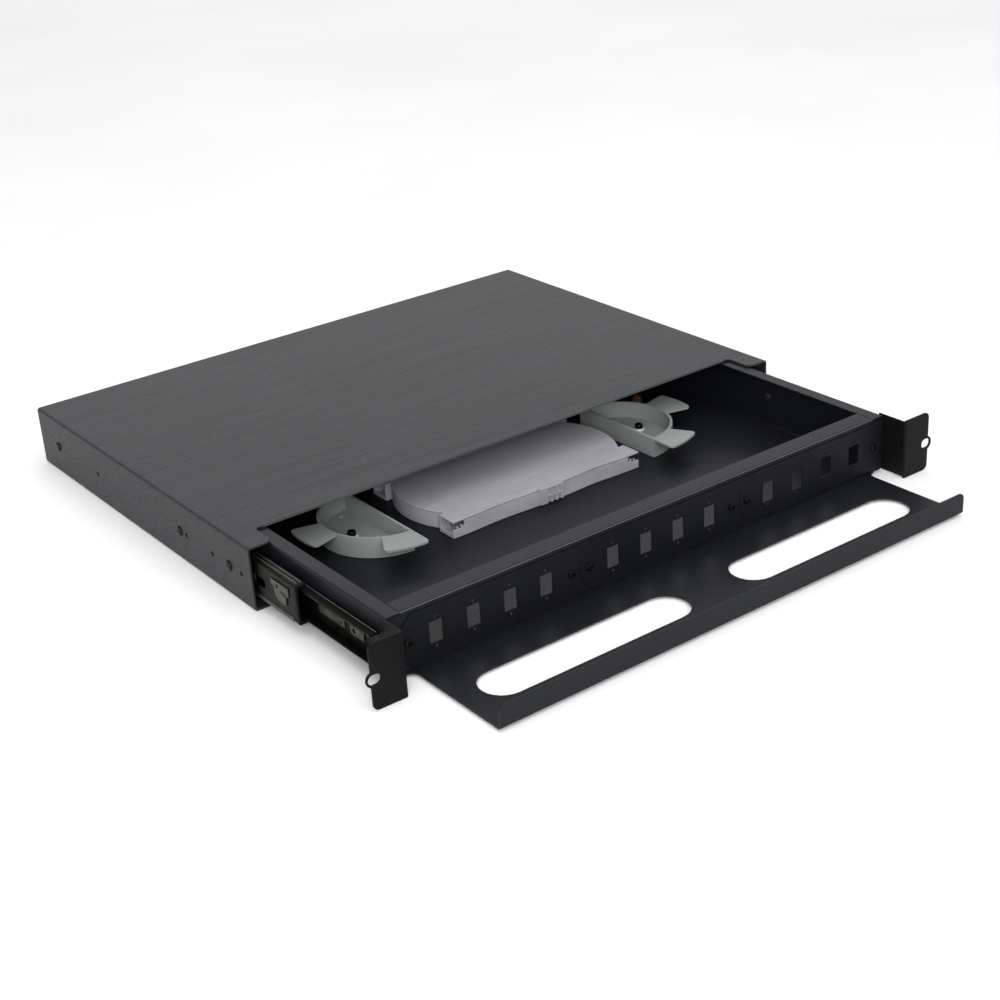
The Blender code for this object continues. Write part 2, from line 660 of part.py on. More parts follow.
def make_rack_ear(body, material, side):
    """L-shaped ear: web beside the panel and a flange with a slot for the rack screw."""
    mid = EAR_WEB_INNER + STEEL / 2
    face = EAR_FRONT + STEEL / 2
    path = [(side * mid, 4.2), (side * mid, face), (side * 234.0, face)]
    ear = solid(prism(folded(path, STEEL, 1.4, 22.5), "z", EAR_LOW, EAR_HIGH))
    rim = ring_outline((side * (EAR_HOLE_X + 0.5), EAR_HOLE_Z), 5.2, 20)
    bulge = prism(rim, "y", EAR_FRONT, EAR_FRONT + STEEL)
    join(ear, bulge)
    trim = bmesh.new()
    for low, high in ((EAR_LOW - 1, DRAWER_BOTTOM), (DRAWER_TOP + 0.2, EAR_HIGH + 1)):
        prism(box_outline(*sorted((side * 208, side * 213)), EAR_FRONT + STEEL, 6), "z", low, high, bm=trim)
    cut(ear, trim)
    corners = bmesh.new()
    radius = 3.8
    for direction, level in ((-1, EAR_LOW), (1, EAR_HIGH)):
        centre = (side * (234.0 - radius), level - direction * radius)
        end = direction * 90
        start = 0 if side > 0 else direction * 180
        outline = arc(centre, radius, start, end, 4)
        beyond = level + direction * 2
        outline += [(centre[0], beyond), (side * 238, beyond), (side * 238, centre[1])]
        prism(outline, "y", EAR_FRONT - 1, EAR_FRONT + STEEL + 1, bm=corners)
    cut(ear, corners)
    slot = box_outline(*sorted((side * (EAR_HOLE_X - 4.3), side * (EAR_HOLE_X + 4.4))),
                       EAR_HOLE_Z - 3.4, EAR_HOLE_Z + 3.4, 3.35, 22.5)
    cut(ear, prism(slot, "y", EAR_FRONT - 1, EAR_FRONT + STEEL + 1))
    finish(ear, f"rack_ear_{SIDE_NAMES[side]}", body, material, (side * mid, EAR_FRONT, MID_HEIGHT))


def make_inner_slide_screw(body, material, side, number, y):
    """Screw from inside the drawer into the slide's inner member."""
    face = DRAWER_HALF_WIDTH - SHEET - 0.15
    profile = [(1.7, 211.6, 0), (1.7, face, 0), (3.4, face, 0), (3.2, face - 1.2, 0), (1.8, face - 1.7, 0)]
    profile = [(radius, side * level, sides) for radius, level, sides in profile]
    screw = solid(turned(profile, "x", (0, y, INNER_SCREW_Z), 12))
    cut(screw, prism(box_outline(y - 1.5, y + 1.5, INNER_SCREW_Z - 0.35, INNER_SCREW_Z + 0.35), "x",
                     *sorted((side * (face - 0.9), side * (face - 3)))))
    name = f"inner_slide_screw_{SIDE_NAMES[side]}_{number}"
    finish(screw, name, body, material, (side * face, y, INNER_SCREW_Z))


# ---------------------------------------------------------------- fibre management

def half_disc(side, radius, chord):
    """Half circle on the outer side of a spool's centre, cut straight at the chord."""
    opening = math.degrees(math.acos(chord / radius))
    points = arc((0, 0), radius, -opening, opening, 24)
    return [(side * (SPOOL_CENTRE[0] + u), SPOOL_CENTRE[1] + v) for u, v in points]


def spool_tab(side, start, end, root):
    """Flat tab beyond the spool's rim between two angles, closed towards the centre by root points."""
    corner = 3.0
    swing = math.degrees(corner / SPOOL_TAB_RADIUS)
    tip = SPOOL_TAB_RADIUS - corner
    inward = math.degrees(math.asin(corner / tip))
    points = []
    for edge, direction in ((start, 1), (end, -1)):
        angle = math.radians(edge + direction * inward)
        centre = (tip * math.cos(angle), tip * math.sin(angle))
        fan = arc(centre, corner, edge - 90, edge + inward, 3) if direction == 1 \
            else arc(centre, corner, edge - inward, edge + 90, 3)
        points.extend(fan)
        if direction == 1:
            points.extend(arc((0, 0), SPOOL_TAB_RADIUS, start + 2 * swing, end - 2 * swing, 4))
    points.extend(root)
    return [(side * (SPOOL_CENTRE[0] + u), SPOOL_CENTRE[1] + v) for u, v in points]


def make_spool(body, material, side):
    """Half-round storage spool: floor, upright wall and three tabs that keep fibre down."""
    spool = solid(prism(half_disc(side, SPOOL_RADIUS, 0.0), "z", PIECE_BOTTOM, SPOOL_TOP))
    cut(spool, prism(half_disc(side, SPOOL_RADIUS - SPOOL_WALL, SPOOL_WALL), "z",
                     PIECE_BOTTOM + SPOOL_FLOOR, SPOOL_TOP + 1))
    inner = SPOOL_RADIUS - 1.0
    tab_low = SPOOL_TOP - 1.5
    side_root = arc((0, 0), inner, 15.5, -15.5, 3)
    front_root = arc((0, 0), inner, -60, -89.9, 3)
    rear_root = arc((0, 0), inner, 89.9, 60, 3)
    join(spool, prism(spool_tab(side, -15.5, 15.5, side_root), "z", tab_low, SPOOL_TOP))
    join(spool, prism(spool_tab(side, -89.9, -60, front_root), "z", tab_low, SPOOL_TOP))
    join(spool, prism(spool_tab(side, 60, 89.9, rear_root), "z", tab_low, SPOOL_TOP))
    holes = bmesh.new()
    levels = (PIECE_BOTTOM - 1, PIECE_BOTTOM + SPOOL_FLOOR + 1)
    prism(ring_outline((side * SPOOL_SCREW_X, SPOOL_CENTRE[1]), 2.2, 12), "z", *levels, bm=holes)
    for y in (198.0, 135.0):
        prism(ring_outline((side * 117.0, y), 2.2, 12), "z", *levels, bm=holes)
    cut(spool, holes)
    spot = (side * SPOOL_CENTRE[0], SPOOL_CENTRE[1], PIECE_BOTTOM)
    finish(spool, f"spool_{SIDE_NAMES[side]}", body, material, spot)


def make_spool_washer(body, material, side):
    base = PIECE_BOTTOM + SPOOL_FLOOR + 0.15
    top = base + 1.8
    profile = [(2.15, base, 0), (4.6, base, 0), (4.6, base + 1.0, 0), (4.0, top, 0), (2.15, top, 0)]
    spot = (side * SPOOL_SCREW_X, SPOOL_CENTRE[1], 0)
    washer = solid(turned(profile, "z", spot, 20, bored=True))
    finish(washer, f"spool_washer_{SIDE_NAMES[side]}", body, material, (spot[0], spot[1], base))


def make_spool_screw(body, material, side):
    """Pan-head screw through washer, spool and drawer floor."""
    seat = PIECE_BOTTOM + SPOOL_FLOOR + 2.1
    profile = [(1.8, DRAWER_BOTTOM + 0.1, 0), (1.8, seat, 0), (3.1, seat, 0), (3.1, seat + 1.8, 0),
               (2.7, seat + 2.8, 0), (1.8, seat + 3.3, 0)]
    spot = (side * SPOOL_SCREW_X, SPOOL_CENTRE[1], 0)
    screw = solid(turned(profile, "z", spot, 16))
    for width, depth in ((3.2, 0.8), (0.8, 3.2)):
        cut(screw, prism(box_outline(spot[0] - width / 2, spot[0] + width / 2, spot[1] - depth / 2,
                                     spot[1] + depth / 2), "z", seat + 2.2, seat + 5))
    finish(screw, f"spool_screw_{SIDE_NAMES[side]}", body, material, (spot[0], spot[1], seat))


def tray_front_edge(inset):
    """Front edge of the splice tray from left to right, waving inwards between ports and clip."""
    wave = 1.3
    steps = 8
    inner_left = TRAY_LEFT + PORT_WIDTH
    inner_right = TRAY_RIGHT - PORT_WIDTH
    points = [(TRAY_LEFT + inset, 0.0)]
    for low, high in ((inner_left, CLIP_SPAN_X[0]), (CLIP_SPAN_X[1], inner_right)):
        for step in range(steps + 1):
            share = step / steps
            points.append((low + (high - low) * share, wave * (1 - math.cos(2 * math.pi * share)) / 2))
    points.append((TRAY_RIGHT - inset, 0.0))
    return [(x, TRAY_FRONT + inset + dip) for x, dip in points]


def tray_outline(inset):
    """Splice tray from above, moved in by inset: a port at each corner and bulging ends between them."""
    port_front = TRAY_FRONT + PORT_DEPTH - inset
    port_rear = TRAY_REAR - PORT_DEPTH + inset
    bulge_start = 5.0
    mid_y = (TRAY_FRONT + TRAY_REAR) / 2
    half_gap = (TRAY_REAR - TRAY_FRONT) / 2 - PORT_DEPTH
    radius = (half_gap ** 2 + TRAY_BULGE ** 2) / (2 * TRAY_BULGE)
    arc_centre_x = TRAY_RIGHT - bulge_start + TRAY_BULGE - radius
    opening = math.degrees(math.asin((port_rear - port_front) / 2 / (radius - inset)))
    right_end = [(TRAY_RIGHT - inset, port_front)]
    right_end += arc((arc_centre_x, mid_y), radius - inset, -opening, opening, 10)
    right_end.append((TRAY_RIGHT - inset, port_rear))
    middle_x = (TRAY_LEFT + TRAY_RIGHT) / 2
    left_end = [(2 * middle_x - x, y) for x, y in reversed(right_end)]
    front = tray_front_edge(inset)
    rear = [(x, TRAY_FRONT + TRAY_REAR - y) for x, y in reversed(front)]
    return front + right_end + rear + left_end


def port_end_tool():
    """Tool that opens the outer end of each corner port above a low sill."""
    tool = bmesh.new()
    sill = PIECE_BOTTOM + TRAY_WALL + 1.2
    for end, away in ((TRAY_LEFT, -1), (TRAY_RIGHT, 1)):
        span = sorted((end + away, end - away * (TRAY_WALL + 0.5)))
        for low_y in (TRAY_FRONT, TRAY_REAR - PORT_DEPTH):
            prism(box_outline(low_y + TRAY_WALL, low_y + PORT_DEPTH - TRAY_WALL, sill, TRAY_RIM + 1),
                  "x", *span, bm=tool)
    return tool


def port_comb_tool():
    """Tool for the toothed opening under the lid in each port's front or rear wall, open at the corner."""
    tool = bmesh.new()
    floor = 8.8
    profile = [(-2.0, TRAY_RIM + 1), (-2.0, floor), (2.8, floor), (2.8, floor + 2.2), (3.9, floor + 2.2),
               (3.9, floor), (6.0, floor), (6.0, floor + 2.8), (7.1, floor + 2.8), (7.1, floor + 1.0),
               (9.0, floor + 1.0), (9.0, TRAY_RIM + 1)]
    for end, inward in ((TRAY_LEFT, 1), (TRAY_RIGHT, -1)):
        outline = [(end + inward * (reach + TRAY_WALL - 1), level) for reach, level in profile]
        for wall_y in (TRAY_FRONT, TRAY_REAR):
            prism(outline, "y", wall_y - TRAY_WALL - 0.5, wall_y + TRAY_WALL + 0.5, bm=tool)
    return tool


def make_splice_tray_base(body, material):
    """Open pan with a fibre port at each corner and a slotted clip block on the front wall."""
    base = solid(prism(tray_outline(0.0), "z", PIECE_BOTTOM, TRAY_RIM))
    cut(base, prism(tray_outline(TRAY_WALL), "z", PIECE_BOTTOM + TRAY_WALL, TRAY_RIM + 1))
    cut(base, port_end_tool())
    cut(base, port_comb_tool())
    clip_front = TRAY_FRONT - 2.2
    clip = box_outline(*CLIP_SPAN_X, clip_front, TRAY_FRONT + 1.4)
    join(base, prism(clip, "z", PIECE_BOTTOM + 0.6, TRAY_TOP))
    slots = bmesh.new()
    for x in (3.4, 7.8, 12.2):
        for low, high in ((9.7, 14.3), (PIECE_BOTTOM - 1, 8.2)):
            slot = box_outline(x - 1.25, x + 1.25, clip_front - 1, clip_front + 1.6)
            prism(slot, "z", low, high, bm=slots)
    for spot in TRAY_SCREW_SPOTS:
        prism(ring_outline(spot, 1.9, 10), "z", PIECE_BOTTOM - 1, PIECE_BOTTOM + TRAY_WALL + 1, bm=slots)
    cut(base, slots)
    finish(base, "splice_tray_base", body, material, (*centre_of_tray(), PIECE_BOTTOM))


def centre_of_tray():
    return ((TRAY_LEFT + TRAY_RIGHT) / 2, (TRAY_FRONT + TRAY_REAR) / 2)


def make_splice_tray_lid(body, material):
    """Flat cover over pan and ports, cut away around the clip block."""
    low = TRAY_RIM + GAP
    lid = solid(prism(tray_outline(0.0), "z", low, TRAY_TOP - 0.1))
    cut(lid, prism(box_outline(CLIP_SPAN_X[0] - 0.5, CLIP_SPAN_X[1] + 0.5, TRAY_FRONT - 1, TRAY_FRONT + 1.8),
                   "z", low - 1, TRAY_TOP + 1))
    finish(lid, "splice_tray_lid", body, material, (*centre_of_tray(), low))


def make_splice_comb(body, material):
    """Splice sleeve holder: a base strip with upright teeth, extruded along the fibres."""
    floor = PIECE_BOTTOM + TRAY_WALL + GAP
    top = floor + 6.0
    base_top = floor + 1.5
    pitch = 3.4
    tooth = 1.2
    teeth = 7
    start = 158.0
    outline = [(start, floor)]
    outline.append((start + (teeth - 1) * pitch + tooth, floor))
    for index in reversed(range(teeth)):
        low_y = start + index * pitch
        outline += [(low_y + tooth, top), (low_y, top)]
        if index > 0:
            outline += [(low_y, base_top), (low_y - pitch + tooth, base_top)]
    comb = solid(prism(outline, "x", -15.0, 25.0))
    finish(comb, "splice_holder_comb", body, material, (5.0, start, floor))


def make_tray_screw(body, material, name, spot):
    """Screw inside the splice tray that holds it to the drawer floor."""
    seat = PIECE_BOTTOM + TRAY_WALL + 0.15
    profile = [(1.5, DRAWER_BOTTOM + 0.1, 0), (1.5, seat, 0), (3.0, seat, 0), (2.8, seat + 1.3, 0),
               (1.6, seat + 1.9, 0)]
    screw = solid(turned(profile, "z", (*spot, 0), 12))
    cut(screw, prism(box_outline(spot[0] - 1.5, spot[0] + 1.5, spot[1] - 0.35, spot[1] + 0.35), "z",
                     seat + 1.0, seat + 3))
    finish(screw, name, body, material, (*spot, seat))


def make_earth_stud(body, material):
    """Brass hexagon stud with a blind hole in its top."""
    low = PIECE_BOTTOM
    top = 15.2
    profile = [(1.5, low + 5, 0), (1.5, top, 0), (3.3, top, 0), (3.5, top - 0.4, 6), (3.5, low, 6)]
    stud = solid(turned(profile, "z", (*EARTH_STUD_SPOT, 0), 12))
    finish(stud, "earth_stud", body, material, (*EARTH_STUD_SPOT, low))


def make_tie_bridge(body, material, side):
    """Low bridge on the drawer floor that a cable tie passes under."""
    x = side * GLAND_X
    foot = PIECE_BOTTOM + 0.5
    crown = foot + 4.0
    path = [(x - 15, foot), (x - 9, foot), (x - 6, crown), (x + 6, crown), (x + 9, foot), (x + 15, foot)]
    bridge = solid(prism(folded(path, SHEET, 1.5), "y", 250, 262))
    finish(bridge, f"cable_tie_bridge_{SIDE_NAMES[side]}", body, material, (x, 256, PIECE_BOTTOM))


# ---------------------------------------------------------------- assembly

def build_housing(looks):
    body = make_body("housing", (0, HOUSING_REAR, MID_HEIGHT))
    make_housing_sleeve(body, looks["powder_coat"])
    make_rear_panel(body, looks["powder_coat"])
    for side in SIDES:
        make_cable_gland(body, looks["black_plastic"], side)
        make_gland_locknut(body, looks["black_plastic"], side)
        make_outer_member(body, looks["slide_steel"], side)
        for number, y in enumerate(SLIDE_SCREW_Y, 1):
            make_slide_screw(body, looks["black_screw"], side, number, y)


def build_slides(looks):
    outer_cages = make_body("outer_cages", (0, OUTER_CAGE_Y[0], MID_HEIGHT))
    middle = make_body("middle_members", (0, MIDDLE_SPAN_Y[0], MID_HEIGHT))
    inner_cages = make_body("inner_cages", (0, INNER_CAGE_Y[0], MID_HEIGHT))
    for side in SIDES:
        make_outer_cage(outer_cages, looks["ball_cage_steel"], side)
        make_middle_member(middle, looks["slide_steel"], side)
        make_bumper(middle, looks["black_plastic"], side)
        make_inner_cage(inner_cages, looks["ball_cage_steel"], side)


def build_drawer(looks):
    body = make_body("drawer", (0, 0, MID_HEIGHT))
    make_drawer_tray(body, looks["drawer_coat"])
    make_front_wall(body, looks["drawer_coat"])
    screw_number = 1
    for number, centre in enumerate(PLATE_CENTRES, 1):
        make_adapter_plate(body, looks["plate_coat"], number, centre)
        for side in SIDES:
            make_plate_screw(body, looks["black_screw"], screw_number, centre + side * PLATE_SCREW_OFFSET)
            screw_number += 1
    for side in SIDES:
        make_rack_ear(body, looks["powder_coat"], side)
        make_inner_member(body, looks["slide_steel"], side)
        for number, y in enumerate(INNER_SCREW_Y, 1):
            make_inner_slide_screw(body, looks["bright_steel"], side, number, y)
        make_spool(body, looks["spool_plastic"], side)
        make_spool_washer(body, looks["bright_steel"], side)
        make_spool_screw(body, looks["black_screw"], side)
        make_tie_bridge(body, looks["drawer_coat"], side)
    make_splice_tray_base(body, looks["tray_plastic"])
    make_splice_comb(body, looks["black_plastic"])
    make_tray_screw(body, looks["bright_steel"], "splice_tray_screw_front", TRAY_SCREW_SPOTS[0])
    make_tray_screw(body, looks["bright_steel"], "splice_tray_screw_rear", TRAY_SCREW_SPOTS[1])
    make_earth_stud(body, looks["brass"])
    lid_body = make_body("splice_lid", (*centre_of_tray(), TRAY_RIM))
    make_splice_tray_lid(lid_body, looks["tray_plastic"])


def build_all():
    for obj in list(bpy.data.objects):
        bpy.data.objects.remove(obj)
    looks = make_materials()
    build_housing(looks)
    build_slides(looks)
    build_drawer(looks)


build_all()
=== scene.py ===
"""Looks of the fibre termination box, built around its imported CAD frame.

Lengths are metres and every place is in the frame of the CAD: X to the right, +Y to the rear, +Z up.
"""

import json
import math

import bmesh
import bpy
from mathutils import Matrix, Vector


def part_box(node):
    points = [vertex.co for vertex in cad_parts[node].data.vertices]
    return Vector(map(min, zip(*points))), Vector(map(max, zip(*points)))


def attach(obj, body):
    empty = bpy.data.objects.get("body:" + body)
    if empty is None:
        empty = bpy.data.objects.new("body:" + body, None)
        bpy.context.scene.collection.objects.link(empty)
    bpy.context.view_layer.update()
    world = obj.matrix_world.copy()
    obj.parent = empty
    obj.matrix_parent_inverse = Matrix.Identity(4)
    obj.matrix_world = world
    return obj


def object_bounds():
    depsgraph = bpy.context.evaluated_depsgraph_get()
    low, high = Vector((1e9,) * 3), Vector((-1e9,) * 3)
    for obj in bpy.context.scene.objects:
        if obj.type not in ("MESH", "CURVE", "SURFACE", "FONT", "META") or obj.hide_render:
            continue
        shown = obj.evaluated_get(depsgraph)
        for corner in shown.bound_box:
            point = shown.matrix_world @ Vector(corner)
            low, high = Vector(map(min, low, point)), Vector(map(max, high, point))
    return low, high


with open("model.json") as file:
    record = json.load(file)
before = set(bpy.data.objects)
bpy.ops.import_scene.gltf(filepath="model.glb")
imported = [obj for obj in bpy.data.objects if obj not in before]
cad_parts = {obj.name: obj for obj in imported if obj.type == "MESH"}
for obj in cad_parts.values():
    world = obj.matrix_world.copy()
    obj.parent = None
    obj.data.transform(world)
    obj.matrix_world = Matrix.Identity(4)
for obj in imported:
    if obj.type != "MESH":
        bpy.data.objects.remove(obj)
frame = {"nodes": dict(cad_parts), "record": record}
cad_low, cad_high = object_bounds()

MM = 0.001
SIDES = (-1, 1)
SIDE_NAMES = {-1: "left", 1: "right"}
OFF_FACE = 0.02 * MM     # gap that keeps an added piece just off the face behind it
SLIDE_SHEET = 1.0 * MM   # thickness of the inner member's sheet


# ---------------------------------------------------------------- shader helpers

class Shader:
    """A material's node tree with short calls to add nodes and join them."""

    # The Mix node has its sockets once for each kind of data; these are the ones for colours.
    FIRST_COLOUR = 6
    SECOND_COLOUR = 7
    MIXED_COLOUR = 2

    def __init__(self, name):
        self.material = bpy.data.materials.new(name)
        self.material.use_nodes = True
        self.tree = self.material.node_tree
        self.surface = self.tree.nodes["Principled BSDF"]
        self.place = self.add("ShaderNodeTexCoord").outputs["Object"]

    def add(self, kind, **settings):
        node = self.tree.nodes.new(kind)
        for key, value in settings.items():
            setattr(node, key, value)
        return node

    def join(self, start, end):
        self.tree.links.new(start, end)

    def scaled(self, stretch):
        """Object coordinates stretched along each axis, for grain that runs one way."""
        mapping = self.add("ShaderNodeMapping")
        mapping.inputs["Scale"].default_value = stretch
        self.join(self.place, mapping.inputs["Vector"])
        return mapping.outputs["Vector"]

    def noise(self, scale, detail=3.0, roughness=0.55, where=None):
        """Noise value of features about 1 / scale metres across."""
        node = self.add("ShaderNodeTexNoise")
        node.inputs["Scale"].default_value = scale
        node.inputs["Detail"].default_value = detail
        node.inputs["Roughness"].default_value = roughness
        self.join(where or self.place, node.inputs["Vector"])
        return node.outputs["Fac"]

    def cells(self, scale):
        """Distance to the nearest point of a scattered set, for orange peel."""
        node = self.add("ShaderNodeTexVoronoi")
        node.inputs["Scale"].default_value = scale
        self.join(self.place, node.inputs["Vector"])
        return node.outputs["Distance"]

    def spread(self, value, low, high, from_low=0.3, from_high=0.7):
        """Map a value onto a range, held inside it."""
        node = self.add("ShaderNodeMapRange")
        node.inputs["From Min"].default_value = from_low
        node.inputs["From Max"].default_value = from_high
        node.inputs["To Min"].default_value = low
        node.inputs["To Max"].default_value = high
        self.join(value, node.inputs["Value"])
        return node.outputs["Result"]

    def mix(self, share, first, second):
        """Mix two colours, each given as a tuple or as an output."""
        node = self.add("ShaderNodeMix", data_type="RGBA")
        self.join(share, node.inputs["Factor"])
        for colour, socket in ((first, self.FIRST_COLOUR), (second, self.SECOND_COLOUR)):
            if isinstance(colour, tuple):
                node.inputs[socket].default_value = (*colour, 1.0)
            else:
                self.join(colour, node.inputs[socket])
        return node.outputs[self.MIXED_COLOUR]

    def bump(self, height, strength, distance, under=None):
        """Normal of a surface raised by a height value, on top of another bump if one is given."""
        node = self.add("ShaderNodeBump")
        node.inputs["Strength"].default_value = strength
        node.inputs["Distance"].default_value = distance
        self.join(height, node.inputs["Height"])
        if under is not None:
            self.join(under, node.inputs["Normal"])
        return node.outputs["Normal"]

    def finish(self, colour, roughness, normal, metallic=0.0, specular=0.5):
        """Wire the surface and return the material; metallic and specular are the same all over."""
        self.join(colour, self.surface.inputs["Base Color"])
        self.join(roughness, self.surface.inputs["Roughness"])
        self.join(normal, self.surface.inputs["Normal"])
        self.surface.inputs["Metallic"].default_value = metallic
        self.surface.inputs["Specular IOR Level"].default_value = specular
        return self.material


def shade(colour, factor):
    """A colour made darker or lighter by a factor."""
    return tuple(min(1.0, channel * factor) for channel in colour)


# ---------------------------------------------------------------- materials

def powder_coat(name, colour, roughness, specular, brushed, grain_strength=0.3):
    """Baked powder coat: fine orange peel, faint mottling, pale scuffs and a hint of rolled grain."""
    s = Shader(name)
    mottle = s.mix(s.spread(s.noise(9.0, detail=4.0), 0.0, 1.0), shade(colour, 0.85), shade(colour, 1.18))
    specks = s.spread(s.noise(1500.0, detail=2.0), 0.0, 0.6, from_low=0.58, from_high=0.78)
    speckled = s.mix(specks, mottle, shade(colour, 1.9))
    streaks = s.noise(1.0, detail=4.0, roughness=0.6, where=s.scaled((10.0, 420.0, 420.0)))
    streaked = s.mix(s.spread(streaks, 0.0, brushed), speckled, shade(colour, 2.6))
    scuffs = s.noise(1.0, detail=3.0, roughness=0.7, where=s.scaled((60.0, 240.0, 240.0)))
    worn = s.mix(s.spread(scuffs, 0.0, 0.5, from_low=0.68, from_high=0.8), streaked, shade(colour, 3.0))
    rough = s.spread(s.noise(700.0), roughness - 0.07, roughness + 0.07)
    peel = s.bump(s.cells(1300.0), grain_strength, 0.12 * MM)
    fine = s.bump(s.noise(2600.0, detail=2.0), grain_strength * 0.7, 0.06 * MM, under=peel)
    rolled = s.bump(streaks, brushed * 0.4, 0.1 * MM, under=fine)
    return s.finish(worn, rough, rolled, specular=specular)


def moulded_plastic(name, colour, roughness, specular, streak=0.0):
    """Moulded plastic: slight flow streaks, spark-eroded fine grain and dusty patches."""
    s = Shader(name)
    clouds = s.mix(s.spread(s.noise(22.0, detail=4.0), 0.0, 1.0), shade(colour, 0.92), shade(colour, 1.08))
    flow = s.noise(1.0, roughness=0.6, where=s.scaled((35.0, 700.0, 120.0)))
    streaked = s.mix(s.spread(flow, 0.0, streak), clouds, shade(colour, 0.72))
    dust = s.spread(s.noise(900.0, detail=2.0), 0.0, 0.25, from_low=0.6, from_high=0.8)
    dusted = s.mix(dust, streaked, shade(colour, 1.25))
    rough = s.spread(s.noise(260.0), roughness - 0.06, roughness + 0.06)
    normal = s.bump(s.noise(1800.0), 0.2, 0.08 * MM)
    return s.finish(dusted, rough, normal, specular=specular)


def plated_steel(name, colour, roughness, grease):
    """Rolled and plated steel: drawn lines along Y, cloudy plating and dark grease in places."""
    s = Shader(name)
    drawn = s.noise(1.0, detail=4.0, roughness=0.65, where=s.scaled((1800.0, 18.0, 1800.0)))
    cloud = s.mix(s.spread(s.noise(45.0, detail=4.0), 0.0, 1.0), shade(colour, 0.75), shade(colour, 1.3))
    lined = s.mix(s.spread(drawn, 0.0, 0.5), cloud, shade(colour, 1.6))
    smears = s.spread(s.noise(70.0, detail=5.0), 0.0, grease, from_low=0.5)
    dirty = s.mix(smears, lined, shade(colour, 0.25))
    rough = s.spread(drawn, roughness - 0.1, roughness + 0.14)
    normal = s.bump(drawn, 0.25, 0.05 * MM)
    return s.finish(dirty, rough, normal, metallic=1.0)


def screw_metal(name, colour, roughness, metallic=1.0):
    """Turned screw: mottled plating and fine random scratches."""
    s = Shader(name)
    mottle = s.spread(s.noise(800.0, detail=4.0), 0.0, 1.0)
    base = s.mix(mottle, shade(colour, 0.7), shade(colour, 1.3))
    rough = s.spread(s.noise(1500.0, detail=4.0), roughness - 0.08, roughness + 0.12)
    normal = s.bump(s.noise(2400.0, detail=4.0), 0.3, 0.05 * MM)
    return s.finish(base, rough, normal, metallic=metallic)


def floor_surface():
    """Pale matt studio board with the faintest mottling."""
    s = Shader("studio_floor")
    colour = s.mix(s.spread(s.noise(3.0), 0.0, 1.0), (0.86, 0.86, 0.86), (0.9, 0.9, 0.9))
    rough = s.spread(s.noise(60.0), 0.85, 0.95)
    return s.finish(colour, rough, s.bump(s.noise(400.0), 0.05, 0.2 * MM), specular=0.1)


def make_looks():
    """Every material by the name of the look that a node or piece asks for."""
    return {
        "powder_coat": powder_coat(
            "housing_powder_coat", (0.0135, 0.014, 0.0155), roughness=0.45, specular=0.19, brushed=0.8),
        "drawer_coat": powder_coat(
            "drawer_powder_coat", (0.0055, 0.0062, 0.0085), roughness=0.48, specular=0.22, brushed=0.12),
        "plate_coat": powder_coat(
            "plate_powder_coat", (0.0055, 0.006, 0.0075), roughness=0.5, specular=0.13, brushed=0.1),
        # painted shade: a darker, duller copy of the drawer coat for the rack ears, which carry the drawer's
        # own coat
        "ear_shaded_coat": powder_coat(
            "ear_painted_shade_coat", (0.0055, 0.005, 0.005), roughness=0.5, specular=0.08, brushed=0.1),
        # painted highlight: a pale coat for the thin beads along the frame's bend and the housing's top edge
        "bead_highlight_coat": powder_coat(
            "painted_highlight_bead_coat", (0.055, 0.056, 0.06), roughness=0.35, specular=0.45, brushed=0.2,
            grain_strength=0.15),
        "slide_steel": plated_steel("slide_zinc", (0.11, 0.105, 0.09), roughness=0.45, grease=0.5),
        # painted shade: the slide zinc darkened to the shade on the slide members' webs
        "shaded_slide_steel": plated_steel("slide_painted_shade_zinc", (0.013, 0.012, 0.01), roughness=0.5, grease=0.8),
        # painted highlight: mid-tone zinc for the lit patches on the slide's shaded webs
        "lit_patch_steel": plated_steel("slide_painted_highlight_zinc", (0.075, 0.07, 0.058), roughness=0.42, grease=0.7),
        "ball_cage_steel": plated_steel("cage_strip", (0.3, 0.29, 0.27), roughness=0.35, grease=0.3),
        "black_plastic": moulded_plastic("black_nylon", (0.0045, 0.0045, 0.005), roughness=0.5, specular=0.1),
        "spool_plastic": moulded_plastic(
            "spool_grey_abs", (0.25, 0.27, 0.264), roughness=0.5, specular=0.35, streak=0.25),
        "tray_plastic": moulded_plastic(
            "tray_pearl_abs", (0.36, 0.345, 0.385), roughness=0.42, specular=0.4, streak=0.7),
        "black_screw": screw_metal("black_oxide_screw", (0.02, 0.02, 0.021), roughness=0.4),
        "dull_screw": screw_metal("dull_zinc_screw", (0.1, 0.1, 0.1), roughness=0.45),
        "bright_steel": screw_metal("zinc_washer", (0.62, 0.62, 0.6), roughness=0.5, metallic=0.35),
        "brass": screw_metal("turned_brass", (0.5, 0.24, 0.09), roughness=0.4),
    }


# ---------------------------------------------------------------- CAD nodes

# Width in millimetres of the rounding on a CAD node's edges, by the record's material slot.
EDGE_ROUNDS = {
    "powder_coat": 0.4,
    "drawer_coat": 0.2,
    "plate_coat": 0.15,
    "slide_steel": 0.2,
    "ball_cage_steel": 0.08,
    "black_plastic": 0.3,
    "spool_plastic": 0.35,
    "tray_plastic": 0.25,
    "black_screw": 0.15,
    "bright_steel": 0.12,
    "brass": 0.2,
}

# Nodes with a look of their own, by how their names start; every other node looks as its slot does.
NODE_LOOKS = {
    # painted shade: the rack ears take a darker, duller copy of their drawer coat
    "rack_ear": "ear_shaded_coat",
    "inner_slide_screw": "dull_screw",
    # painted shade: the middle and inner slide members take the darkened copy of the slide zinc
    "slide_left_middle": "shaded_slide_steel",
    "slide_right_middle": "shaded_slide_steel",
    "slide_left_inner_member": "shaded_slide_steel",
    "slide_right_inner_member": "shaded_slide_steel",
}

WELD_GAP = 0.01 * MM
FLAT_ANGLE = math.radians(0.5)
SHARP_ANGLE = math.radians(35)


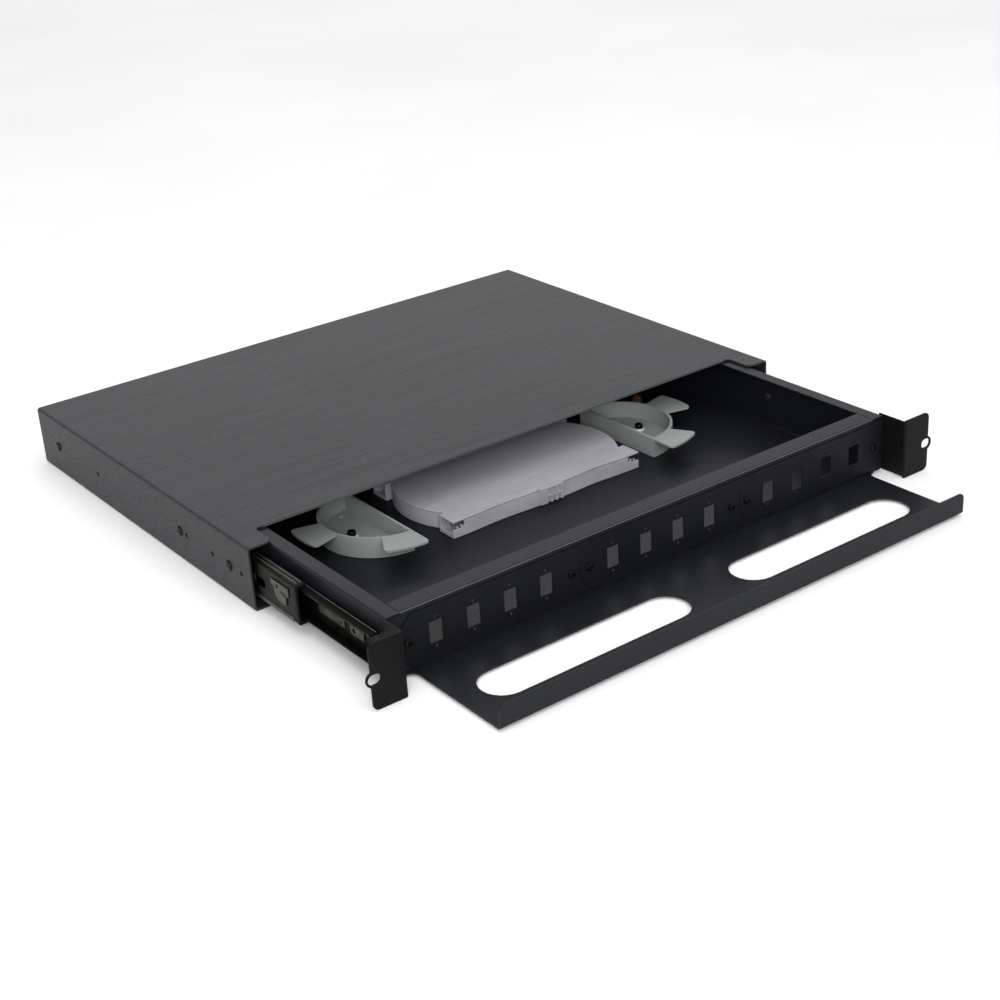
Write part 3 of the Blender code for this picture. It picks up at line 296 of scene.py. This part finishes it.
def soften_edges(obj, width_mm):
    """Weld the mesh, join its flat faces and round its sharp edges, so that they catch the light."""
    weld = obj.modifiers.new("weld", "WELD")
    weld.merge_threshold = WELD_GAP
    flats = obj.modifiers.new("flats", "DECIMATE")
    flats.decimate_type = "DISSOLVE"
    flats.angle_limit = FLAT_ANGLE
    bevel = obj.modifiers.new("edges", "BEVEL")
    bevel.width = width_mm * MM
    bevel.segments = 2
    bevel.limit_method = "ANGLE"
    bevel.angle_limit = SHARP_ANGLE
    bevel.use_clamp_overlap = True
    normals = obj.modifiers.new("normals", "WEIGHTED_NORMAL")
    normals.mode = "FACE_AREA"
    normals.keep_sharp = False


def dress_cad_nodes(looks):
    """Give every CAD node its look and soft edges."""
    slots = {row["node"]: row["material_slot"] for row in frame["record"]["subparts"]}
    for name, obj in frame["nodes"].items():
        slot = slots[name]
        own = [look for start, look in NODE_LOOKS.items() if name.startswith(start)]
        for held in obj.material_slots:
            held.material = looks[own[0] if own else slot]
        soften_edges(obj, EDGE_ROUNDS[slot])


# ---------------------------------------------------------------- mesh helpers

def arc(centre, radius, start, end, steps):
    """Points on an arc with both ends included; angles in degrees."""
    points = []
    for step in range(steps + 1):
        angle = math.radians(start + (end - start) * step / steps)
        points.append((centre[0] + radius * math.cos(angle), centre[1] + radius * math.sin(angle)))
    return points


def hole_outline(centre, radius):
    """Sixteen points round a hole."""
    return arc(centre, radius, 0, 345, 15)


def rounded_box(low_y, high_y, low_z, high_z, radius):
    """Closed outline of a rectangle with rounded corners, across X."""
    front = low_y + radius
    rear = high_y - radius
    lower = low_z + radius
    upper = high_z - radius
    outline = []
    for y, z, start in ((rear, lower, 270), (rear, upper, 0), (front, upper, 90), (front, lower, 180)):
        outline += arc((y, z), radius, start, start + 90, 5)
    return outline


def prism(bm, outline, axis, low, high):
    """Add a closed solid drawn out along x or y from an outline across it."""
    ends = []
    for level in (low, high):
        ends.append([])
        for first, second in outline:
            spot = (level, first, second) if axis == "x" else (first, level, second)
            ends[-1].append(bm.verts.new(spot))
    bm.faces.new(ends[0])
    bm.faces.new(ends[1])
    for index in range(len(outline)):
        bm.faces.new((ends[0][index - 1], ends[0][index], ends[1][index], ends[1][index - 1]))


def ringed(bm, profile, centre, segments):
    """Add a bored solid of revolution about Y from a closed profile of (radius, level) points."""
    rings = []
    for radius, level in profile:
        rings.append([])
        for index in range(segments):
            angle = 2 * math.pi * index / segments
            spot = Vector((radius * math.cos(angle), level, radius * math.sin(angle)))
            rings[-1].append(bm.verts.new(spot + centre))
    for lower, upper in zip(rings, rings[1:] + rings[:1]):
        for index in range(segments):
            bm.faces.new((lower[index - 1], lower[index], upper[index], upper[index - 1]))


def new_object(name, bm):
    """Turn a bmesh drawn in metres into an object of the scene."""
    bmesh.ops.recalc_face_normals(bm, faces=bm.faces)
    mesh = bpy.data.meshes.new(name)
    bm.to_mesh(mesh)
    bm.free()
    obj = bpy.data.objects.new(name, mesh)
    bpy.context.scene.collection.objects.link(obj)
    return obj


def cut_away(obj, cutters):
    """Cut the solids of a bmesh out of an object and leave no modifier on it."""
    tool = new_object("tool", cutters)
    cut = obj.modifiers.new("cut", "BOOLEAN")
    cut.operation = "DIFFERENCE"
    cut.solver = "EXACT"
    cut.object = tool
    depsgraph = bpy.context.evaluated_depsgraph_get()
    obj.data = bpy.data.meshes.new_from_object(obj.evaluated_get(depsgraph))
    obj.modifiers.clear()
    bpy.data.objects.remove(tool)


def make_piece(name, bm, body, look, looks, edge_mm, cutters=None):
    """Make a piece that rides on a CAD body, with its look and soft edges."""
    obj = new_object(name, bm)
    if cutters is not None:
        cut_away(obj, cutters)
    obj.data.materials.clear()
    obj.data.materials.append(looks[look])
    obj.data.shade_smooth()
    soften_edges(obj, edge_mm)
    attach(obj, body)


# ---------------------------------------------------------------- slide details

def member_box(side, member):
    """Low and high corners of a slide member's box."""
    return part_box(f"slide_{SIDE_NAMES[side]}_{member}_member")


def reaches(low, high):
    """How far a box's inner and outer side are from the termination box's middle plane."""
    return sorted((abs(low.x), abs(high.x)))


def placed(points, front, mid):
    """Y and Z of points given in millimetres behind a member's front end and above its middle."""
    return [(front + y * MM, mid + z * MM) for y, z in points]


def add_latch_plate(looks, side):
    """Pressed latch plate on the middle member's web, with a pivot hole and a slanted slot; its lighter zinc
    is a painted highlight on the shaded web.
    """
    low, high = member_box(side, "middle")
    mid = (low.z + high.z) / 2
    face = reaches(low, high)[1]
    span = sorted((side * (face + OFF_FACE), side * (face + 0.8 * MM)))
    wide = (span[0] - MM, span[1] + MM)
    plate = ((6, 9), (26, 9), (27, 8), (27, 5.2), (23.5, 4.4), (22.8, -1), (18, -4.6), (11, -4.6),
             (9.6, -3.4), (9.6, 1.6), (6, 3))
    slot = ((9, 1.2), (9, 2.6), (14.2, 4.6), (15.2, 3.6))
    pivot = (low.y + 19.5 * MM, mid + 5.6 * MM)
    bm = bmesh.new()
    prism(bm, placed(plate, low.y, mid), "x", *span)
    holes = bmesh.new()
    prism(holes, hole_outline(pivot, 1.3 * MM), "x", *wide)
    prism(holes, placed(slot, low.y, mid), "x", *wide)
    name = f"slide_{SIDE_NAMES[side]}_latch_plate"
    make_piece(name, bm, "middle_members", "lit_patch_steel", looks, edge_mm=0.15, cutters=holes)


def add_lower_band(looks, side):
    """Rolled band along the lower edge of the middle member's web, with a crowned section; its lighter zinc
    is a painted highlight on the lit lower edge.
    """
    low, high = member_box(side, "middle")
    face = reaches(low, high)[1]
    section = ((0.02, 0.8), (0.4, 1.1), (0.55, 2.4), (0.4, 3.7), (0.02, 4.0))
    outline = [(side * (face + out * MM), low.z + up * MM) for out, up in section]
    bm = bmesh.new()
    prism(bm, outline, "y", low.y + 3 * MM, low.y + 52 * MM)
    name = f"slide_{SIDE_NAMES[side]}_lower_band"
    make_piece(name, bm, "middle_members", "lit_patch_steel", looks, edge_mm=0.05)


def add_end_cap(looks, side):
    """Black nylon cap on the front end of the middle member, following its C-shaped section."""
    low, high = member_box(side, "middle")
    mid = (low.z + high.z) / 2
    lip, web = reaches(low, high)
    half = (high.z - low.z) / 2
    thick = 1.9 * MM
    chamfer = 1.0 * MM
    inside = half - thick
    outline = [(lip, half), (web - chamfer, half), (web, half - chamfer), (web, -half + chamfer),
               (web - chamfer, -half), (lip, -half), (lip, -inside), (web - thick - chamfer, -inside),
               (web - thick, -inside + chamfer), (web - thick, inside - chamfer),
               (web - thick - chamfer, inside), (lip, inside)]
    bm = bmesh.new()
    prism(bm, [(side * x, mid + z) for x, z in outline], "y", low.y - 2.2 * MM, low.y - 0.1 * MM)
    name = f"slide_{SIDE_NAMES[side]}_end_cap"
    make_piece(name, bm, "middle_members", "black_plastic", looks, edge_mm=0.3)


def add_track_ridges(looks, side):
    """Two rolled ridges along the upper and lower flange of the middle member."""
    low, high = member_box(side, "middle")
    lip = reaches(low, high)[0]
    sunk = 0.25 * MM
    radius = 0.7 * MM
    short = 0.5 * MM
    for label, level, up in (("upper", high.z, 1), ("lower", low.z, -1)):
        bm = bmesh.new()
        for reach in (1.6 * MM, 4.6 * MM):
            centre = (side * (lip + reach), level - up * sunk)
            prism(bm, arc(centre, radius, 0, 180 * up, 6), "y", low.y + short, high.y - short)
        name = f"slide_{SIDE_NAMES[side]}_{label}_ridges"
        make_piece(name, bm, "middle_members", "slide_steel", looks, edge_mm=0.05)


def add_inner_edge(looks, side):
    """Bright zinc bead along the front part of the inner member's upper flange: a painted highlight on the
    edge of the darkened member.
    """
    low, high = member_box(side, "inner")
    edge = reaches(low, high)[0] + 2.2 * MM
    outline = arc((side * edge, high.z - 0.05 * MM), 0.5 * MM, 0, 180, 6)
    bm = bmesh.new()
    prism(bm, outline, "y", low.y + MM, low.y + 88 * MM)
    make_piece(f"slide_{SIDE_NAMES[side]}_inner_edge", bm, "drawer", "slide_steel", looks, edge_mm=0.03)


def add_release_lever(looks, side):
    """Flat release lever along the inner member's web: a bar, a thumb tab and the neck between them. Its
    lighter zinc is a painted highlight for the lit patches on the shaded web.
    """
    low, high = member_box(side, "inner")
    web = reaches(low, high)[0] + SLIDE_SHEET
    level = (low.z + high.z) / 2 - 0.6 * MM
    front = low.y
    span = sorted((side * (web + 0.03 * MM), side * (web + 0.6 * MM)))
    inset = 0.05 * MM
    wide = (span[0] - MM, span[1] + MM)
    bm = bmesh.new()
    for start, end, half in ((38 * MM, 67 * MM, 2.6 * MM), (17 * MM, 32 * MM, 3.2 * MM)):
        outline = rounded_box(front + start, front + end, level - half, level + half, 1.2 * MM)
        prism(bm, outline, "x", *span)
    neck = rounded_box(front + 31.5 * MM, front + 38.5 * MM, level - MM, level + MM, 0.3 * MM)
    prism(bm, neck, "x", span[0] + inset, span[1] - inset)
    holes = bmesh.new()
    for behind, radius in ((42, 1.1), (28, 1.6)):
        prism(holes, hole_outline((front + behind * MM, level), radius * MM), "x", *wide)
    name = f"slide_{SIDE_NAMES[side]}_release_lever"
    make_piece(name, bm, "drawer", "lit_patch_steel", looks, edge_mm=0.12, cutters=holes)


# ---------------------------------------------------------------- housing and drawer edges

def add_frame_edge(looks):
    """Pale bead along the bend at the top of the drawer's front frame: a painted highlight on the bend."""
    low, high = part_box("drawer_front_wall")
    bend = 0.5 * MM
    short = 2.0 * MM
    outline = arc((low.y + bend, high.z - bend), 0.32 * MM, 0, 330, 11)
    bm = bmesh.new()
    prism(bm, outline, "x", low.x + short, high.x - short)
    make_piece("front_frame_edge", bm, "drawer", "bead_highlight_coat", looks, edge_mm=0.03)


def add_top_edge(looks):
    """Pale strip on the cut edge of the housing's top sheet, set back between its two front corners: a
    painted highlight on the edge.
    """
    low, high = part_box("housing_sleeve")
    recess = 22.3 * MM
    corner = 24 * MM
    front = low.y + recess
    section = ((0.02, 1.15), (0.22, 1.0), (0.22, 0.5), (0.02, 0.35))
    outline = [(front - ahead * MM, high.z - down * MM) for ahead, down in section]
    bm = bmesh.new()
    prism(bm, outline, "x", low.x + corner, high.x - corner)
    make_piece("housing_top_edge", bm, "housing", "bead_highlight_coat", looks, edge_mm=0.03)


# ---------------------------------------------------------------- rear details

def add_gland_seal(looks, side):
    """Rubber seal in the mouth of a cable gland, with four V-shaped grooves round its bore."""
    low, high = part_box(f"cable_gland_{SIDE_NAMES[side]}")
    centre = Vector(((low.x + high.x) / 2, 0.0, (low.z + high.z) / 2))
    mouth = high.y
    outer = 5.9 * MM
    bore = 4.5 * MM
    groove = 5.0 * MM
    profile = [(outer, mouth - 9 * MM), (outer, mouth - 0.6 * MM), (5.2 * MM, mouth - 0.2 * MM)]
    for ring in range(4):
        level = mouth - (0.8 + ring * 2.1) * MM
        profile += [(bore, level), (groove, level - 0.9 * MM), (bore, level - 1.8 * MM)]
    bm = bmesh.new()
    ringed(bm, profile, centre, 32)
    make_piece(f"gland_seal_{SIDE_NAMES[side]}", bm, "housing", "black_plastic", looks, edge_mm=0.05)


# ---------------------------------------------------------------- stage

# Name, place, width, depth and power in watts of each soft box.
SOFT_BOXES = (
    ("overhead", (-0.2, -0.9, 2.4), 2.4, 2.4, 30.0),
    ("front_fill", (-1.6, -2.4, 1.3), 1.8, 1.2, 55.0),
    ("rear_sheen", (1.9, 2.8, 1.7), 3.0, 1.6, 14.0),
)
SKY_COLOUR = (0.985, 0.99, 1.0, 1.0)
SKY_STRENGTH = 0.72

CAMERA_PLACE = (-0.6543, -1.0320, 0.5256)
CAMERA_AZIMUTH = math.radians(-35.58)
CAMERA_ELEVATION = math.radians(25.56)
CAMERA_ROLL = math.radians(-3.72)
CAMERA_LENS_MM = 62.3
CAMERA_SENSOR_MM = 36.0


def add_floor():
    """Large pale floor just under the object."""
    half = 8.0
    corners = [(-half, -half, 0), (half, -half, 0), (half, half, 0), (-half, half, 0)]
    mesh = bpy.data.meshes.new("floor")
    mesh.from_pydata(corners, [], [(0, 1, 2, 3)])
    mesh.materials.append(floor_surface())
    floor = bpy.data.objects.new("floor", mesh)
    floor.location.z = cad_low.z - 0.1 * MM
    bpy.context.scene.collection.objects.link(floor)


def add_sky():
    """Even, slightly cool sky."""
    world = bpy.data.worlds.new("studio")
    world.use_nodes = True
    background = world.node_tree.nodes["Background"]
    background.inputs["Color"].default_value = SKY_COLOUR
    background.inputs["Strength"].default_value = SKY_STRENGTH
    bpy.context.scene.world = world


def add_soft_boxes():
    """Rectangular lights aimed at the origin: overhead, low in front, and low behind for the top's sheen."""
    for name, place, width, depth, power in SOFT_BOXES:
        data = bpy.data.lights.new(name, "AREA")
        data.shape = "RECTANGLE"
        data.size = width
        data.size_y = depth
        data.energy = power
        light = bpy.data.objects.new(name, data)
        light.location = place
        light.rotation_euler = (-Vector(place)).to_track_quat("-Z", "Y").to_euler()
        bpy.context.scene.collection.objects.link(light)


def add_camera():
    """Camera aimed by its azimuth and elevation, and turned a little about its own axis."""
    flat = math.cos(CAMERA_ELEVATION)
    forward = Vector((-math.sin(CAMERA_AZIMUTH) * flat, math.cos(CAMERA_AZIMUTH) * flat,
                      -math.sin(CAMERA_ELEVATION)))
    level = Vector((math.cos(CAMERA_AZIMUTH), math.sin(CAMERA_AZIMUTH), 0.0))
    upright = level.cross(forward)
    right = level * math.cos(CAMERA_ROLL) + upright * math.sin(CAMERA_ROLL)
    up = upright * math.cos(CAMERA_ROLL) - level * math.sin(CAMERA_ROLL)
    data = bpy.data.cameras.new("camera")
    data.sensor_width = CAMERA_SENSOR_MM
    data.lens = CAMERA_LENS_MM
    camera = bpy.data.objects.new("camera", data)
    turn = Matrix((right, up, -forward)).transposed()
    camera.matrix_world = Matrix.Translation(CAMERA_PLACE) @ turn.to_4x4()
    bpy.context.scene.collection.objects.link(camera)
    bpy.context.scene.camera = camera


# ---------------------------------------------------------------- everything together

def build_scene():
    """Dress the CAD nodes, add every piece on both sides, and set up the stage."""
    looks = make_looks()
    dress_cad_nodes(looks)
    for side in SIDES:
        add_latch_plate(looks, side)
        add_lower_band(looks, side)
        add_inner_edge(looks, side)
        add_end_cap(looks, side)
        add_track_ridges(looks, side)
        add_release_lever(looks, side)
        add_gland_seal(looks, side)
    add_frame_edge(looks)
    add_top_edge(looks)
    add_floor()
    add_sky()
    add_soft_boxes()
    add_camera()


build_scene()
bpy.context.scene.view_settings.view_transform = "Standard"
